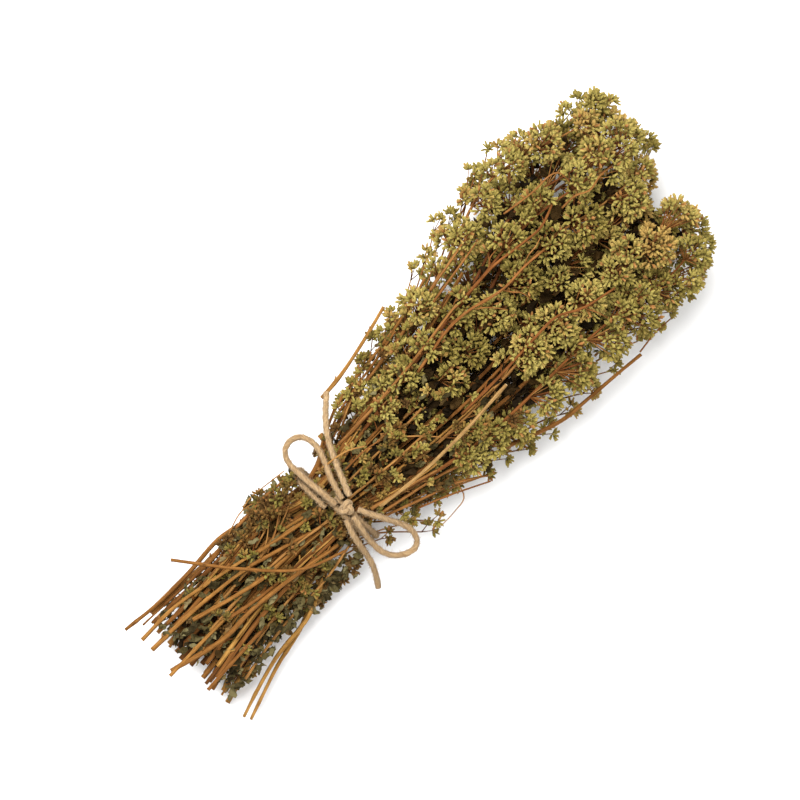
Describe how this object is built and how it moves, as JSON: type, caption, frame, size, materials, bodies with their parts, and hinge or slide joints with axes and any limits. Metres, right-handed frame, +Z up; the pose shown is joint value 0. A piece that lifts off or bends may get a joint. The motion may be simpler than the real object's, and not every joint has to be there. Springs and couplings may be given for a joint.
{
  "type": "dried oregano bundle",
  "caption": "Long bunch of dried oregano: cut woody stems, leafy shoots and dense flowering heads, tied at the waist with a twine bow, lying down.",
  "frame": {"origin": "bottom centre of the lying bundle: the middle of its footprint, on the surface it lies on", "axes": "+X along the bundle from the cut stem ends to the flowering tips, +Z up, +Y across to the left seen from the stems"},
  "size_m": [0.3064, 0.109, 0.0736],
  "materials": {
    "stem": "matte dry bark, rust brown",
    "pale_stem": "matte dry stem, straw",
    "floret": "matte dry bracts, olive",
    "leaf": "matte dry leaf, grey-green",
    "twine": "jute, matte and hairy"
  },
  "bodies": {
    "root": {"twine_wraps": "twine", "bow_loop_left": "twine", "bow_loop_right": "twine", "bow_tail_up": "twine", "bow_tail_down": "twine", "cross_stem": "stem", "broken_stem": "stem", "edge_stem": "stem", "pale_stem": "pale_stem", "splayed_stem_1": "stem", "splayed_stem_2": "stem", "long_stem": "stem", "stalk_01": "stem", "stalk_02": "stem", "stalk_03": "stem", "stalk_04": "stem", "stalk_05": "stem", "stalk_06": "stem", "stalk_07": "stem", "stalk_08": "stem", "stalk_09": "stem", "stalk_10": "stem", "stalk_11": "stem", "stalk_12": "stem", "stalk_13": "stem", "stalk_14": "stem", "stalk_15": "stem", "stalk_16": "stem", "stalk_17": "stem", "stalk_18": "stem", "stalk_19": "stem", "stalk_20": "stem", "stalk_21": "stem", "shoot_01": "leaf", "shoot_02": "leaf", "shoot_03": "leaf", "shoot_04": "leaf", "shoot_05": "leaf", "shoot_06": "leaf", "head_01": "floret", "head_02": "floret", "head_03": "floret", "head_04": "floret", "head_05": "floret", "head_06": "floret", "head_07": "floret", "head_08": "floret", "head_09": "floret", "head_10": "floret", "head_11": "floret", "head_12": "floret", "head_13": "floret", "head_14": "floret", "head_15": "floret", "head_16": "floret", "head_17": "floret", "head_18": "floret", "head_19": "floret", "head_20": "floret", "head_21": "floret"}
  },
  "joints": []
}
